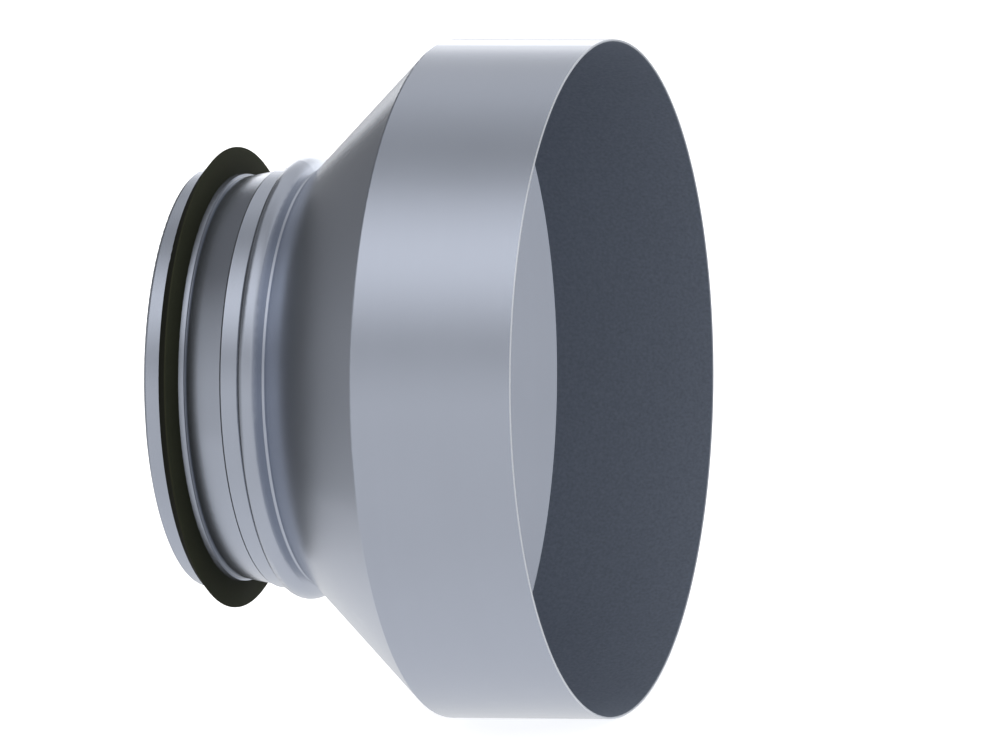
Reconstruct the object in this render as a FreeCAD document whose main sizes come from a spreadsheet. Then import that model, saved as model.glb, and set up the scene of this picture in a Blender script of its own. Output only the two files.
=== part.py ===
import FreeCAD, Part

import math
import os

import Sketcher

# Duct reducer, 200 to 125 mm.
# A spun sheet reducer with a plain socket, a 45 degree cone and a beaded neck, a rolled spigot
# collar that is nested in the neck, and a rubber lip seal that the collar's hem clamps.
#
# The row frame has its origin at the centre of the socket's mouth. +X runs along the duct axis
# out of the mouth, the spigot lies towards -X, and +Z is up.
# The outlines are drawn with the distance behind the mouth across and the radius upwards.

SIZES = [
    # Reducer shell
    ("mouth_bore_radius", 100.0),
    ("shell_sheet", 0.6),
    ("socket_length", 49.2),
    ("cone_length", 38.8),
    ("neck_bore_radius", 61.8),
    ("neck_length", 14.2),
    ("neck_edge_length", 0.5),
    ("neck_edge_depth", 0.33),
    ("shoulder_bend_radius", 0.9),
    ("cone_foot_bend_radius", 0.5),
    # Stop bead, rolled through the neck and the collar
    ("land_length", 0.95),
    ("bead_width", 7.5),
    ("bead_back_run", 2.3),
    ("bead_height", 3.35),
    ("bead_foot_bend_radius", 0.4),
    ("bead_wall_length", 0.1),
    ("bead_flat_length", 0.1),
    # Spigot collar
    ("collar_sheet", 0.5),
    ("nest_clearance", 0.05),
    ("collar_lap", 0.8),
    ("spigot_reach", 23.65),
    ("spigot_radius", 62.2),
    ("hem_length", 5.55),
    ("hem_depth", 3.2),
    ("hem_bend_radius", 1.0),
    ("groove_width", 4.85),
    ("rib_width", 1.55),
    ("rib_height", 1.0),
    ("rib_fall", 0.1),
    ("rib_foot_bend_radius", 0.25),
    # Lip seal
    ("seal_clearance", 0.05),
    ("seal_foot_length", 2.8),
    ("seal_shoulder_height", 2.8),
    ("seal_shoulder_bend_radius", 2.0),
    ("lip_height", 6.2),
    ("lip_setback", 3.05),
    ("lip_tip_width", 0.35),
    ("lip_tip_bend_radius", 0.12),
]

# Stations behind the mouth, as formulas of the sizes
CONE_FOOT = "(Sizes.socket_length + Sizes.cone_length)"
NECK_END = "(" + CONE_FOOT + " + Sizes.neck_length)"
BEAD_BACK = "(" + CONE_FOOT + " + Sizes.land_length)"
BEAD_FRONT = "(" + BEAD_BACK + " + Sizes.bead_width)"
TIP = "(" + NECK_END + " + Sizes.spigot_reach)"
HEM_END = "(" + TIP + " - Sizes.hem_length)"
RIB_FRONT = "(" + HEM_END + " - Sizes.groove_width)"
RIB_BACK = "(" + RIB_FRONT + " - Sizes.rib_width)"

# Radii, as formulas of the sizes
SOCKET_OUTSIDE = "(Sizes.mouth_bore_radius + Sizes.shell_sheet)"
NECK_OUTSIDE = "(Sizes.neck_bore_radius + Sizes.shell_sheet)"
COLLAR_OUTSIDE = "(Sizes.neck_bore_radius - Sizes.nest_clearance)"
GROOVE_FLOOR = "(Sizes.spigot_radius - Sizes.hem_depth + Sizes.collar_sheet)"
RIB_TOP = "(" + GROOVE_FLOOR + " + Sizes.rib_height)"
HEM_INSIDE = "(Sizes.spigot_radius - Sizes.collar_sheet)"

# The bead's bends fill its height and its width, but for short straight parts
HALF_SLOPE = "(atan(Sizes.bead_height / Sizes.bead_back_run) / 2)"
FRONT_BEND = "(Sizes.bead_height - Sizes.bead_foot_bend_radius - Sizes.bead_wall_length)"
BEAD_TOP_LENGTH = "(Sizes.bead_width - Sizes.bead_back_run - " + FRONT_BEND + " - Sizes.bead_flat_length)"
BACK_BEND = "(" + BEAD_TOP_LENGTH + " / tan(" + HALF_SLOPE + "))"

# How far the collar's outside lies inside the shell's, and what that takes off the bead's back slope
NEST_DEPTH = "(Sizes.shell_sheet + Sizes.nest_clearance)"
NEST_SHIFT = "(" + NEST_DEPTH + " * tan(" + HALF_SLOPE + "))"

# Turns the outlines' direction, away from the mouth, onto -X
ROW_PLACEMENT = FreeCAD.Placement(FreeCAD.Vector(0, 0, 0), FreeCAD.Rotation(FreeCAD.Vector(0, 0, 1), 180))
DRAWING_PLANE = FreeCAD.Placement(FreeCAD.Vector(0, 0, 0), FreeCAD.Rotation(FreeCAD.Vector(1, 0, 0), 90))


def make_sizes(doc):
    """Put the driving dimensions into a spreadsheet, one named cell each."""
    sheet = doc.addObject("Spreadsheet::Sheet", "Sizes")
    for row, (name, value) in enumerate(SIZES, start=1):
        sheet.set("A%d" % row, name)
        sheet.set("B%d" % row, str(value))
        sheet.setAlias("B%d" % row, name)
    doc.recompute()
    return sheet


def number(sketch, formula):
    """The present value of a formula of the sizes."""
    value = sketch.evalExpression(formula)
    return float(getattr(value, "Value", value))


def bind(sketch, constraint, formula):
    """Add a dimension to a sketch and bind it to a formula of the sizes."""
    index = sketch.addConstraint(constraint)
    sketch.setExpression("Constraints[%d]" % index, formula)


def add_corner(sketch, station, radius):
    """A construction point that holds a corner of the outline in its place."""
    place = FreeCAD.Vector(number(sketch, station), number(sketch, radius), 0)
    point = sketch.addGeometry(Part.Point(place), True)
    bind(sketch, Sketcher.Constraint("DistanceX", -1, 1, point, 1, place.x), station)
    bind(sketch, Sketcher.Constraint("DistanceY", -1, 1, point, 1, place.y), radius)
    return point, place


def bend_ends(before, corner, after, radius):
    """Where a bend of this radius leaves the two lines that meet in the corner."""
    back = (before - corner).normalize()
    ahead = (after - corner).normalize()
    reach = radius / math.tan(back.getAngle(ahead) / 2)
    return corner + back * reach, corner + ahead * reach


def add_bend(sketch, before, corner, after, start, end, radius):
    """The arc of one bend, drawn counterclockwise, and which of its ends comes first."""
    inward = ((before - corner).normalize() + (after - corner).normalize()).normalize()
    centre = corner + inward * math.hypot(radius, (start - corner).Length)
    turn = (corner - before).cross(after - corner).z
    first, last = (start, end) if turn > 0 else (end, start)
    circle = Part.Circle(centre, FreeCAD.Vector(0, 0, 1), radius)
    angles = [math.atan2(spot.y - centre.y, spot.x - centre.x) for spot in (first, last)]
    arc = sketch.addGeometry(Part.ArcOfCircle(circle, angles[0], angles[1]), False)
    return arc, (1, 2) if turn > 0 else (2, 1)


def add_outline(sketch, corners, closed=False):
    """Draw lines from corner to corner, each a station, a radius and a bend radius or None."""
    count = len(corners)
    points = [add_corner(sketch, station, radius) for station, radius, _ in corners]
    places = [place for _, place in points]
    starts = list(places)
    ends = list(places)
    bends = {}
    for index, (_, _, bend) in enumerate(corners):
        if bend is None:
            continue
        before = places[index - 1]
        after = places[(index + 1) % count]
        ends[index], starts[index] = bend_ends(before, places[index], after, number(sketch, bend))
        bends[index] = add_bend(
            sketch, before, places[index], after, ends[index], starts[index], number(sketch, bend)
        )
        bind(sketch, Sketcher.Constraint("Radius", bends[index][0], number(sketch, bend)), bend)
    for index in range(count if closed else count - 1):
        following = (index + 1) % count
        line = sketch.addGeometry(Part.LineSegment(starts[index], ends[following]), False)
        for end, corner in ((1, index), (2, following)):
            if corner in bends:
                arc, arc_ends = bends[corner]
                sketch.addConstraint(Sketcher.Constraint("PointOnObject", points[corner][0], 1, line))
                sketch.addConstraint(Sketcher.Constraint("Tangent", line, end, arc, arc_ends[2 - end]))
            else:
                sketch.addConstraint(Sketcher.Constraint("Coincident", line, end, points[corner][0], 1))


def make_sheet_ring(doc, name, corners, thickness):
    """A ring of bent sheet: an open outline, thickened to one side and revolved."""
    sketch = doc.addObject("Sketcher::SketchObject", name + "_outline")
    sketch.Placement = DRAWING_PLANE
    add_outline(sketch, corners)
    doc.recompute()
    section = doc.addObject("Part::Offset2D", name + "_section")
    section.Source = sketch
    section.Mode = "Skin"
    section.Join = "Arc"
    section.Fill = True
    section.setExpression("Value", thickness)
    ring = doc.addObject("Part::Revolution", name)
    ring.Label = name
    ring.Source = section
    ring.Axis = FreeCAD.Vector(1, 0, 0)
    ring.Base = FreeCAD.Vector(0, 0, 0)
    ring.Angle = 360
    ring.Solid = True
    ring.Placement = ROW_PLACEMENT
    doc.recompute()
    return ring


def is_ring_edge(edge, station, radius):
    """Whether an edge is the circle at this distance behind the mouth and of this radius."""
    if not isinstance(edge.Curve, Part.Circle):
        return False
    circle = edge.Curve
    return abs(circle.Center.x + station) < 1e-3 and abs(circle.Radius - radius) < 1e-3


def make_reducer_shell(doc):
    """Socket, cone and beaded neck, spun from one sheet. The outline is the outside."""
    bead_top = "(" + NECK_OUTSIDE + " + Sizes.bead_height)"
    corners = [
        ("0", SOCKET_OUTSIDE, None),
        ("Sizes.socket_length", SOCKET_OUTSIDE, "Sizes.shoulder_bend_radius"),
        (CONE_FOOT, NECK_OUTSIDE, "Sizes.cone_foot_bend_radius"),
        (BEAD_BACK, NECK_OUTSIDE, None),
        (BEAD_BACK + " + Sizes.bead_back_run", bead_top, BACK_BEND),
        (BEAD_FRONT, bead_top, FRONT_BEND),
        (BEAD_FRONT, NECK_OUTSIDE, "Sizes.bead_foot_bend_radius"),
        (NECK_END, NECK_OUTSIDE, None),
    ]
    spun = make_sheet_ring(doc, "spun_shell", corners, "Sizes.shell_sheet")
    end = number(spun, NECK_END)
    outside = number(spun, NECK_OUTSIDE)
    shell = doc.addObject("Part::Chamfer", "reducer_shell")
    shell.Label = "reducer_shell"
    shell.Base = spun
    shell.Edges = [
        (index, number(spun, "Sizes.neck_edge_length"), number(spun, "Sizes.neck_edge_depth"))
        for index, edge in enumerate(spun.Shape.Edges, start=1)
        if is_ring_edge(edge, end, outside)
    ]
    doc.recompute()
    return shell


def make_spigot_collar(doc):
    """Nested bead, tapered tube, rib, seal groove and hem. The outline is the side with the groove."""
    bead_top = "(" + COLLAR_OUTSIDE + " + Sizes.bead_height)"
    bead_back = "(" + BEAD_BACK + " + " + NEST_SHIFT + ")"
    tip_inside = "(" + TIP + " - Sizes.collar_sheet)"
    hem_bend = "(Sizes.hem_bend_radius - Sizes.collar_sheet)"
    corners = [
        (bead_back + " - Sizes.collar_lap", COLLAR_OUTSIDE, None),
        (bead_back, COLLAR_OUTSIDE, None),
        (bead_back + " + Sizes.bead_back_run", bead_top, BACK_BEND + " - " + NEST_DEPTH),
        (BEAD_FRONT + " - " + NEST_DEPTH, bead_top, FRONT_BEND + " - " + NEST_DEPTH),
        (BEAD_FRONT + " - " + NEST_DEPTH, COLLAR_OUTSIDE, "Sizes.bead_foot_bend_radius + " + NEST_DEPTH),
        (NECK_END, COLLAR_OUTSIDE, None),
        (RIB_BACK, GROOVE_FLOOR, "Sizes.rib_foot_bend_radius"),
        (RIB_BACK, RIB_TOP + " - Sizes.rib_fall", None),
        (RIB_FRONT, RIB_TOP, None),
        (RIB_FRONT, GROOVE_FLOOR, None),
        (tip_inside, GROOVE_FLOOR, hem_bend),
        (tip_inside, HEM_INSIDE, hem_bend),
        (HEM_END, HEM_INSIDE, None),
    ]
    return make_sheet_ring(doc, "spigot_collar", corners, "Sizes.collar_sheet")


def make_lip_seal(doc):
    """Rubber ring with a foot under the hem and one lip that leans away from the tip."""
    foot_inside = "(" + GROOVE_FLOOR + " + Sizes.seal_clearance)"
    foot_outside = "(" + HEM_INSIDE + " - Sizes.seal_clearance)"
    front = "(" + HEM_END + " - Sizes.seal_clearance)"
    back = "(" + RIB_FRONT + " + Sizes.seal_clearance)"
    lip_front = "(" + HEM_END + " - Sizes.lip_setback)"
    lip_radius = "(Sizes.spigot_radius + Sizes.lip_height)"
    corners = [
        (HEM_END + " + Sizes.seal_foot_length", foot_inside, None),
        (back, foot_inside, None),
        (back, RIB_TOP, None),
        (lip_front + " - Sizes.lip_tip_width", lip_radius, "Sizes.lip_tip_bend_radius"),
        (lip_front, lip_radius, "Sizes.lip_tip_bend_radius"),
        (front, "Sizes.spigot_radius + Sizes.seal_shoulder_height", "Sizes.seal_shoulder_bend_radius"),
        (front, foot_outside, None),
        (HEM_END + " + Sizes.seal_foot_length", foot_outside, None),
    ]
    body = doc.addObject("PartDesign::Body", "lip_seal")
    body.Label = "lip_seal"
    sketch = body.newObject("Sketcher::SketchObject", "lip_seal_outline")
    plane = [item for item in body.Origin.OriginFeatures if item.Role == "XZ_Plane"][0]
    axis = [item for item in body.Origin.OriginFeatures if item.Role == "X_Axis"][0]
    sketch.AttachmentSupport = [(plane, "")]
    sketch.MapMode = "FlatFace"
    doc.recompute()
    add_outline(sketch, corners, closed=True)
    doc.recompute()
    ring = body.newObject("PartDesign::Revolution", "lip_seal_ring")
    ring.Profile = sketch
    ring.ReferenceAxis = (axis, [""])
    ring.Angle = 360
    body.Placement = ROW_PLACEMENT
    doc.recompute()
    return body


def check_document(doc, nodes):
    """Stop if any object failed, or if a node is not one valid solid."""
    for item in doc.Objects:
        if "Invalid" in item.State or "Error" in item.State:
            raise RuntimeError("%s failed: %s" % (item.Name, item.State))
    for node in nodes:
        shape = node.Shape
        if shape.isNull() or not shape.isValid() or len(shape.Solids) != 1:
            raise RuntimeError("%s is not one valid solid" % node.Label)


def main():
    doc = FreeCAD.newDocument("duct_reducer")
    make_sizes(doc)
    nodes = [make_reducer_shell(doc), make_spigot_collar(doc), make_lip_seal(doc)]
    doc.recompute()
    check_document(doc, nodes)
    os.makedirs("parts", exist_ok=True)
    for node in nodes:
        box = node.Shape.optimalBoundingBox()
        node.Shape.exportStep("parts/%s.step" % node.Label)
        print("%s: %.0f mm3, x %.2f to %.2f, radius %.2f" % (
            node.Label, node.Shape.Volume, box.XMin, box.XMax, box.ZMax))


main()
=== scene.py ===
import math

import bpy
from mathutils import Matrix, Vector

# The frame is in metres: origin at the centre of the socket's mouth, +X out of the mouth, +Z up.
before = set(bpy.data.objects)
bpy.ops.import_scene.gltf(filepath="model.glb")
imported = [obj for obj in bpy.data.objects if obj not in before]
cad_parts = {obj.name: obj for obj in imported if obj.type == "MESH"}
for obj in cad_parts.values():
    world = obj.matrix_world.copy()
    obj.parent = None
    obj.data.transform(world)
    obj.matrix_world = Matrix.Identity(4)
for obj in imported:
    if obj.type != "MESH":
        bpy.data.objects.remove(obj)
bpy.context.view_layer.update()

# The photograph's camera: a long lens, turned about Z, with a small roll, raised by the elevation
FOCAL_PIXELS = 30000.0
IMAGE_WIDTH = 1000.0
SENSOR_WIDTH = 36.0
YAW = -0.30792
ROLL = 0.00537
ELEVATION = math.radians(12.0)
OBJECT_PLACE = Vector((0.0334088, 0.00122361, 8.873306))
CLIP_NEAR = 0.1
CLIP_FAR = 100.0

# The floor: its own grey, the glow that whitens it to the camera, and its level in reflections
FLOOR_LEVEL = -0.1006
FLOOR_SIZE = 24.0
FLOOR_GREY = 0.8
FLOOR_GLOW = 0.72
FLOOR_MIRRORED = 0.9
# In reflections it has a painted pool of light under the object, by the distance from this place
PAINTED_LIGHT_CENTRE = (-0.06, 0.01, FLOOR_LEVEL)
PAINTED_LIGHT_STOPS = [(0.05, 1.0), (0.2, 0.0)]
PAINTED_LIGHT_GAIN = 0.14
# In reflections it has painted shade at the back on the left
PAINTED_SHADE_LEFT_START = -0.14
PAINTED_SHADE_BACK_START = -0.05
PAINTED_SHADE_RUN = 0.1
PAINTED_SHADE_DEPTH = 0.3

# A glowing card with painted shades, seen only in reflections as the dark on the left, stands to
# the left of the spigot, from the floor up, with its upper front corner cut
CARD_PLACE = -0.29
CARD_FRONT = -0.38
CARD_BACK = 0.325
CARD_TOP = 0.42
# The cut runs from this height on the front edge to this Y on the top edge
CARD_CUT_HEIGHT = 0.2
CARD_CUT_END = -0.15
# Its painted shade by height, and the lighter painted shade that it has at its front edge and
# loses behind it
CARD_PAINTED_SHADES = [(-0.1, 0.56), (-0.02, 0.42), (0.04, 0.38), (0.08, 0.28), (0.12, 0.19), (0.3, 0.13)]
CARD_PAINTED_EDGE_SHADE = 0.95
CARD_SOFT_EDGE = 0.25

# Light by its angle about the X axis in degrees: 0 is the horizon in front, 90 overhead
LIGHT_BANDS = [
    (0, 0.96), (12, 0.84), (24, 0.63), (36, 1.02), (48, 1.35), (58, 1.37), (72, 1.08), (84, 0.65),
    (96, 0.48), (109, 0.64), (121, 0.81), (133, 0.83), (145, 0.76), (156, 0.93), (162, 1.3),
    (169, 2.0), (180, 2.2),
]
# A ramp holds colours up to 1, so the levels are divided by this and the strength brings it back
LIGHT_SCALE = 2.5
# Towards +X the bands give way to one even level, by the X of the direction
RIGHT_LEVEL = 0.88
RIGHT_START = 0.5
RIGHT_RUN = 0.25

# The metal's colours: outside and in the spigot; in the socket's bore, darker with painted shade;
# and on its cut edge, lighter with a painted highlight
METAL = (0.392, 0.424, 0.497)
BORE_SHADED_METAL = (0.24, 0.272, 0.332)
CUT_HIGHLIGHT_METAL = (0.62, 0.65, 0.7)
METALLIC = 0.9

# The socket's bore and its cut edge, told from its outside by radius and distance from the mouth
SOCKET_MIDDLE = 0.1003
SOCKET_LENGTH = 0.04895
CUT_DEPTH = 0.00025

# Painted shade in the corner behind the rib, where the seal's lip shades the tube: where it
# starts, how far it runs, how much it darkens
RIB_BACK = -0.1139
CORNER_SHADE_RUN = 0.0045
CORNER_SHADE_DEPTH = 0.5

# The metal's patterns: cells per metre, extra octaves, and each octave's share of the last one
GRAIN = (1100.0, 2.0, 0.5)
DRAWN_LINES = (420.0, 2.0, 0.5)
CLOUDS = (28.0, 3.0, 0.5)
RUBBED = (95.0, 4.0, 0.65)
RUBBED_STOPS = [(0.6, 0.0), (0.75, 1.0)]

# What each pattern does to the metal's level of colour
CLOUDS_SHADE = 0.03
LINES_SHADE = 0.012
RUBBED_SHADE = 0.015
GRAIN_SHADE = 0.03
BORE_GRAIN_SHADE = 0.45

# Its roughness, and what each pattern and place adds to it
METAL_ROUGHNESS = 0.25
CLOUDS_ROUGHNESS = 0.03
GRAIN_ROUGHNESS = 0.015
RUBBED_ROUGHNESS = -0.02
BORE_ROUGHNESS = 0.45
CUT_ROUGHNESS = 0.2

# Its relief: the lines' share beside the grain, the bump's strength and its depth in metres
LINES_RELIEF = 0.5
METAL_BUMP = (0.02, 0.00005)

# The rubber: colour, gloss, and its patterns as above
RUBBER = (0.0295, 0.032, 0.0192)
RUBBER_SPECULAR = 0.06
RUBBER_ROUGHNESS = 0.78
BLOOM_ROUGHNESS = 0.08
SKIN = (2200.0, 3.0, 0.6)
SKIN_SHADE = 0.15
BLOOM = (60.0, 3.0, 0.55)
BLOOM_SHADE = 0.2
RUBBER_BUMP = (0.15, 0.0001)

# Painted shade on the seal: darker at its foot, by radius, and in front of its lip's crest, by X
SEAL_FOOT = 0.0605
FOOT_SHADE_LEVEL = 0.6
FOOT_SHADE_LIFT_PER_METRE = 80.0
LIP_CREST = -0.1172
LIP_BLEND = 1.0 / 1500.0
FRONT_SHADE_LEVEL = 0.25


# Camera

def make_camera():
    """The camera that was fitted to the photograph's ellipses, raised to look down a little."""
    lens_turn = Matrix(((1, 0, 0), (0, 0, -1), (0, 1, 0)))
    turned = Matrix.Rotation(ROLL, 3, "Z") @ lens_turn @ Matrix.Rotation(YAW, 3, "Z")
    turned = turned @ Matrix.Rotation(ELEVATION, 3, "X")
    place = -(turned.transposed() @ OBJECT_PLACE)
    right, down, ahead = turned[0], turned[1], turned[2]
    basis = Matrix((right, -down, -ahead)).transposed()
    data = bpy.data.cameras.new("camera")
    data.sensor_width = SENSOR_WIDTH
    data.lens = FOCAL_PIXELS / IMAGE_WIDTH * SENSOR_WIDTH
    data.clip_start = CLIP_NEAR
    data.clip_end = CLIP_FAR
    camera = bpy.data.objects.new("camera", data)
    camera.matrix_world = Matrix.Translation(place) @ basis.to_4x4()
    bpy.context.scene.collection.objects.link(camera)
    bpy.context.scene.camera = camera


# Node helpers

def add(tree, kind, **values):
    """A new node, with its named attributes or input sockets set."""
    node = tree.nodes.new(kind)
    for key, value in values.items():
        if key in node.inputs.keys():
            node.inputs[key].default_value = value
        else:
            setattr(node, key, value)
    return node


def new_material(name):
    """An empty node material: the material, its tree and the socket for its surface."""
    material = bpy.data.materials.new(name)
    material.use_nodes = True
    tree = material.node_tree
    tree.nodes.clear()
    output = add(tree, "ShaderNodeOutputMaterial")
    return material, tree, output.inputs["Surface"]


def math_node(tree, operation, first, second=None, third=None, clamp=False):
    """One arithmetic node on sockets or numbers."""
    node = add(tree, "ShaderNodeMath", operation=operation, use_clamp=clamp)
    for index, value in enumerate((first, second, third)):
        if value is None:
            continue
        if isinstance(value, (int, float)):
            node.inputs[index].default_value = value
        else:
            tree.links.new(value, node.inputs[index])
    return node.outputs[0]


def rise(tree, value, start, run):
    """0 up to the start and 1 from the end of the run on. A negative run rises the other way."""
    beyond = math_node(tree, "SUBTRACT", value, start)
    return math_node(tree, "DIVIDE", beyond, run, clamp=True)


def spread(tree, factor, middle, reach):
    """Turn noise about 0.5 into a value about the middle."""
    return math_node(tree, "MULTIPLY_ADD", factor, 2.0 * reach, middle - reach)


def xyz(tree, vector):
    """The X, Y and Z of a vector socket."""
    node = add(tree, "ShaderNodeSeparateXYZ")
    tree.links.new(vector, node.inputs[0])
    return node.outputs["X"], node.outputs["Y"], node.outputs["Z"]


def about_axis(tree, place):
    """A place's X, the vector to it straight from the X axis, and that vector's length."""
    along, y, z = xyz(tree, place)
    across = add(tree, "ShaderNodeCombineXYZ")
    tree.links.new(y, across.inputs["Y"])
    tree.links.new(z, across.inputs["Z"])
    length = add(tree, "ShaderNodeVectorMath", operation="LENGTH")
    tree.links.new(across.outputs[0], length.inputs[0])
    return along, across.outputs[0], length.outputs["Value"]


def noise(tree, place, pattern):
    """Fractal noise about 0.5, from a pattern's scale, octaves and roughness."""
    scale, detail, roughness = pattern
    node = add(tree, "ShaderNodeTexNoise", Scale=scale, Detail=detail, Roughness=roughness)
    tree.links.new(place, node.inputs["Vector"])
    return node.outputs["Fac"]


def grey(level):
    """A neutral colour of this level."""
    return (level, level, level)


def ramp(tree, factor, stops, interpolation="LINEAR"):
    """A ramp of grey levels by the factor."""
    node = add(tree, "ShaderNodeValToRGB")
    node.color_ramp.interpolation = interpolation
    elements = node.color_ramp.elements
    while len(elements) > 1:
        elements.remove(elements[-1])
    for index, (place, level) in enumerate(stops):
        element = elements[0] if index == 0 else elements.new(place)
        element.position = place
        element.color = grey(level) + (1.0,)
    tree.links.new(factor, node.inputs["Fac"])
    return node.outputs["Color"]


def blend(tree, share, first, second):
    """A colour between two, each a colour or a socket."""
    node = add(tree, "ShaderNodeMix", data_type="RGBA")
    tree.links.new(share, node.inputs[0])
    for socket, colour in ((node.inputs[6], first), (node.inputs[7], second)):
        if isinstance(colour, tuple):
            socket.default_value = colour + (1.0,)
        else:
            tree.links.new(colour, socket)
    return node.outputs[2]


def tinted(tree, colour, level):
    """A colour times a level socket."""
    node = add(tree, "ShaderNodeVectorMath", operation="SCALE")
    node.inputs[0].default_value = colour
    tree.links.new(level, node.inputs["Scale"])
    return node.outputs[0]


def relief(tree, height, strength, distance):
    """A bump from a height socket."""
    node = add(tree, "ShaderNodeBump", Strength=strength, Distance=distance)
    tree.links.new(height, node.inputs["Height"])
    return node.outputs[0]


# Materials

def galvanised_steel():
    """Zinc-coated sheet: grey-blue, with fine grain, drawn lines, cloudy patches, rubbed spots,
    painted shade behind the rib and in the bore, and a painted highlight on the cut edge.
    """
    material, tree, surface = new_material("galvanised_steel")
    shader = add(tree, "ShaderNodeBsdfPrincipled", Metallic=METALLIC)
    tree.links.new(shader.outputs[0], surface)
    geometry = add(tree, "ShaderNodeNewGeometry")
    place = geometry.outputs["Position"]
    along, across, radius = about_axis(tree, place)
    # Coordinates along the sheet's section only, so the drawn lines run round the axis
    section = add(tree, "ShaderNodeCombineXYZ")
    tree.links.new(along, section.inputs["X"])
    tree.links.new(radius, section.inputs["Y"])
    grain = noise(tree, place, GRAIN)
    lines = noise(tree, section.outputs[0], DRAWN_LINES)
    clouds = noise(tree, place, CLOUDS)
    worn = ramp(tree, noise(tree, place, RUBBED), RUBBED_STOPS)
    # The bore is duller and grainier, and its colour is darker with painted shade; the mouth's cut
    # edge is rougher, and its colour is lighter with a painted highlight
    inner = math_node(tree, "LESS_THAN", radius, SOCKET_MIDDLE)
    in_socket = math_node(tree, "GREATER_THAN", along, -SOCKET_LENGTH)
    bore = math_node(tree, "MULTIPLY", inner, in_socket)
    cut = math_node(tree, "GREATER_THAN", along, -CUT_DEPTH)
    # Painted shade outside, in the corner behind the rib, where the seal's lip shades the tube
    outward = add(tree, "ShaderNodeVectorMath", operation="DOT_PRODUCT")
    tree.links.new(across, outward.inputs[0])
    tree.links.new(geometry.outputs["Normal"], outward.inputs[1])
    outside = math_node(tree, "GREATER_THAN", outward.outputs["Value"], 0.0)
    past_rib = math_node(tree, "GREATER_THAN", along, RIB_BACK)
    shade_faded = rise(tree, along, RIB_BACK, CORNER_SHADE_RUN)
    corner_shade_zone = math_node(tree, "MULTIPLY", outside, past_rib)
    corner_shade = math_node(tree, "MULTIPLY", corner_shade_zone, math_node(tree, "SUBTRACT", 1.0, shade_faded))
    corner_shaded_level = math_node(tree, "MULTIPLY_ADD", corner_shade, -CORNER_SHADE_DEPTH, 1.0)
    # Colour
    level = spread(tree, clouds, 1.0, CLOUDS_SHADE)
    level = math_node(tree, "MULTIPLY", level, spread(tree, lines, 1.0, LINES_SHADE))
    level = math_node(tree, "MULTIPLY_ADD", worn, RUBBED_SHADE, level)
    speckle = math_node(tree, "MULTIPLY_ADD", bore, BORE_GRAIN_SHADE, GRAIN_SHADE)
    offset = math_node(tree, "SUBTRACT", grain, 0.5)
    level = math_node(tree, "MULTIPLY_ADD", offset, speckle, level)
    level = math_node(tree, "MULTIPLY", level, corner_shaded_level)
    sides = blend(tree, bore, tinted(tree, METAL, level), tinted(tree, BORE_SHADED_METAL, level))
    tree.links.new(blend(tree, cut, sides, CUT_HIGHLIGHT_METAL), shader.inputs["Base Color"])
    # Roughness
    rough = spread(tree, clouds, METAL_ROUGHNESS, CLOUDS_ROUGHNESS)
    rough = math_node(tree, "ADD", rough, spread(tree, grain, 0.0, GRAIN_ROUGHNESS))
    for mask, share in ((worn, RUBBED_ROUGHNESS), (bore, BORE_ROUGHNESS), (cut, CUT_ROUGHNESS)):
        rough = math_node(tree, "MULTIPLY_ADD", mask, share, rough)
    tree.links.new(rough, shader.inputs["Roughness"])
    # Relief
    height = math_node(tree, "MULTIPLY_ADD", lines, LINES_RELIEF, grain)
    tree.links.new(relief(tree, height, *METAL_BUMP), shader.inputs["Normal"])
    return material


def seal_rubber():
    """Matte black rubber, slightly warm, with a fine skin, a faint bloom, and painted shade at its
    foot and in front of its crest.
    """
    material, tree, surface = new_material("seal_rubber")
    shader = add(tree, "ShaderNodeBsdfPrincipled", Metallic=0.0)
    shader.inputs["Specular IOR Level"].default_value = RUBBER_SPECULAR
    tree.links.new(shader.outputs[0], surface)
    place = add(tree, "ShaderNodeNewGeometry").outputs["Position"]
    along, _, radius = about_axis(tree, place)
    skin = noise(tree, place, SKIN)
    bloom = noise(tree, place, BLOOM)
    # Painted shade: darker at its foot and in front of its crest
    height = math_node(tree, "SUBTRACT", radius, SEAL_FOOT)
    foot_shade = math_node(tree, "MULTIPLY_ADD", height, FOOT_SHADE_LIFT_PER_METRE, FOOT_SHADE_LEVEL)
    back = rise(tree, along, LIP_CREST - LIP_BLEND / 2.0, LIP_BLEND)
    front_shade = math_node(tree, "MULTIPLY_ADD", back, 1.0 - FRONT_SHADE_LEVEL, FRONT_SHADE_LEVEL)
    level = math_node(tree, "MULTIPLY", foot_shade, front_shade)
    level = math_node(tree, "MULTIPLY", level, spread(tree, bloom, 1.0, BLOOM_SHADE))
    level = math_node(tree, "MULTIPLY", level, spread(tree, skin, 1.0, SKIN_SHADE))
    tree.links.new(tinted(tree, RUBBER, level), shader.inputs["Base Color"])
    rough = spread(tree, bloom, RUBBER_ROUGHNESS, BLOOM_ROUGHNESS)
    tree.links.new(rough, shader.inputs["Roughness"])
    tree.links.new(relief(tree, skin, *RUBBER_BUMP), shader.inputs["Normal"])
    return material


def dress():
    """Give each node its finish."""
    metal = galvanised_steel()
    finishes = {"reducer_shell": metal, "spigot_collar": metal, "lip_seal": seal_rubber()}
    for name, material in finishes.items():
        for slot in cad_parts[name].material_slots:
            slot.material = material


# Studio

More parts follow.
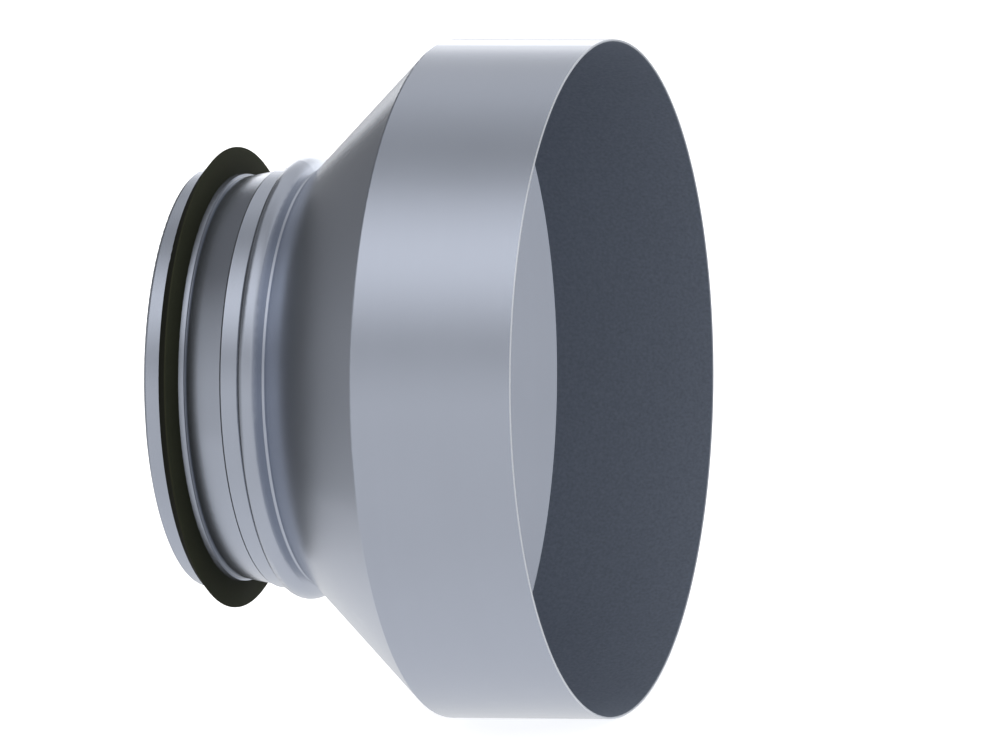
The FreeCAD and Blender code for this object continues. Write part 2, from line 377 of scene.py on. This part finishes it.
def make_floor():
    """A white floor that keeps the object's soft shadow, and that the metal mirrors as white, with
    a painted pool of light under the object and painted shade at the back on the left.
    """
    material, tree, surface = new_material("white_floor")
    path = add(tree, "ShaderNodeLightPath")
    # To the camera: grey that takes the shadow, with a glow
    diffuse = add(tree, "ShaderNodeBsdfDiffuse", Color=grey(FLOOR_GREY) + (1.0,))
    glow = add(tree, "ShaderNodeEmission")
    strength = math_node(tree, "MULTIPLY", path.outputs["Is Camera Ray"], FLOOR_GLOW)
    tree.links.new(strength, glow.inputs["Strength"])
    seen = add(tree, "ShaderNodeAddShader")
    tree.links.new(diffuse.outputs[0], seen.inputs[0])
    tree.links.new(glow.outputs[0], seen.inputs[1])
    # In reflections: a steady white, with a painted pool of light under the object and painted
    # shade at the back on the left
    place = add(tree, "ShaderNodeNewGeometry").outputs["Position"]
    reach = add(tree, "ShaderNodeVectorMath", operation="DISTANCE")
    tree.links.new(place, reach.inputs[0])
    reach.inputs[1].default_value = PAINTED_LIGHT_CENTRE
    painted_light = ramp(tree, reach.outputs["Value"], PAINTED_LIGHT_STOPS, "EASE")
    painted_light_level = math_node(tree, "MULTIPLY_ADD", painted_light, PAINTED_LIGHT_GAIN, FLOOR_MIRRORED)
    x, y, _ = xyz(tree, place)
    left = rise(tree, x, PAINTED_SHADE_LEFT_START, -PAINTED_SHADE_RUN)
    behind = rise(tree, y, PAINTED_SHADE_BACK_START, PAINTED_SHADE_RUN)
    floor_shade = math_node(tree, "MULTIPLY", left, behind)
    floor_shade_level = math_node(tree, "MULTIPLY_ADD", floor_shade, -PAINTED_SHADE_DEPTH, 1.0)
    mirrored = add(tree, "ShaderNodeEmission")
    tree.links.new(math_node(tree, "MULTIPLY", painted_light_level, floor_shade_level), mirrored.inputs["Strength"])
    glossy, passing = path.outputs["Is Glossy Ray"], path.outputs["Is Transmission Ray"]
    mix = add(tree, "ShaderNodeMixShader")
    tree.links.new(math_node(tree, "MAXIMUM", glossy, passing), mix.inputs[0])
    tree.links.new(seen.outputs[0], mix.inputs[1])
    tree.links.new(mirrored.outputs[0], mix.inputs[2])
    tree.links.new(mix.outputs[0], surface)
    bpy.ops.mesh.primitive_plane_add(size=FLOOR_SIZE, location=(0.0, 0.0, FLOOR_LEVEL))
    floor = bpy.context.object
    floor.name = "floor"
    floor.data.materials.append(material)


def make_painted_reflection_card():
    """A glowing card with painted shades on the left, seen only in reflections, that the cone, the
    bead and the tapered tube mirror.
    """
    material, tree, surface = new_material("painted_reflection_card")
    glow = add(tree, "ShaderNodeEmission")
    tree.links.new(glow.outputs[0], surface)
    _, y, z = xyz(tree, add(tree, "ShaderNodeNewGeometry").outputs["Position"])
    # A ramp starts at 0, so heights are taken from the floor
    height = math_node(tree, "SUBTRACT", z, FLOOR_LEVEL)
    shade = ramp(tree, height, [(level - FLOOR_LEVEL, shade) for level, shade in CARD_PAINTED_SHADES])
    fade = rise(tree, y, CARD_FRONT, CARD_SOFT_EDGE)
    tree.links.new(blend(tree, fade, grey(CARD_PAINTED_EDGE_SHADE), shade), glow.inputs["Color"])
    outline = [
        (CARD_FRONT, FLOOR_LEVEL), (CARD_BACK, FLOOR_LEVEL), (CARD_BACK, CARD_TOP),
        (CARD_CUT_END, CARD_TOP), (CARD_FRONT, CARD_CUT_HEIGHT),
    ]
    mesh = bpy.data.meshes.new("painted_reflection_card")
    corners = [(CARD_PLACE, y_place, z_place) for y_place, z_place in outline]
    mesh.from_pydata(corners, [], [range(len(corners))])
    mesh.materials.append(material)
    card = bpy.data.objects.new("painted_reflection_card", mesh)
    bpy.context.scene.collection.objects.link(card)
    card.visible_camera = False
    card.visible_diffuse = False
    card.visible_shadow = False


def make_studio_light():
    """The surrounding studio: bands of light by their angle about X, from the front over."""
    world = bpy.data.worlds.new("studio")
    bpy.context.scene.world = world
    world.use_nodes = True
    tree = world.node_tree
    tree.nodes.clear()
    output = add(tree, "ShaderNodeOutputWorld")
    background = add(tree, "ShaderNodeBackground", Strength=LIGHT_SCALE)
    tree.links.new(background.outputs[0], output.inputs["Surface"])
    x, y, z = xyz(tree, add(tree, "ShaderNodeTexCoord").outputs["Generated"])
    angle = math_node(tree, "ARCTAN2", z, math_node(tree, "MULTIPLY", y, -1.0))
    share = math_node(tree, "DIVIDE", angle, math.pi)
    stops = [(degrees / 180, level / LIGHT_SCALE) for degrees, level in LIGHT_BANDS]
    bands = ramp(tree, share, stops)
    right = rise(tree, x, RIGHT_START, RIGHT_RUN)
    even = grey(RIGHT_LEVEL / LIGHT_SCALE)
    tree.links.new(blend(tree, right, bands, even), background.inputs["Color"])


bpy.context.scene.view_settings.view_transform = "Standard"
make_camera()
make_floor()
make_painted_reflection_card()
make_studio_light()
dress()
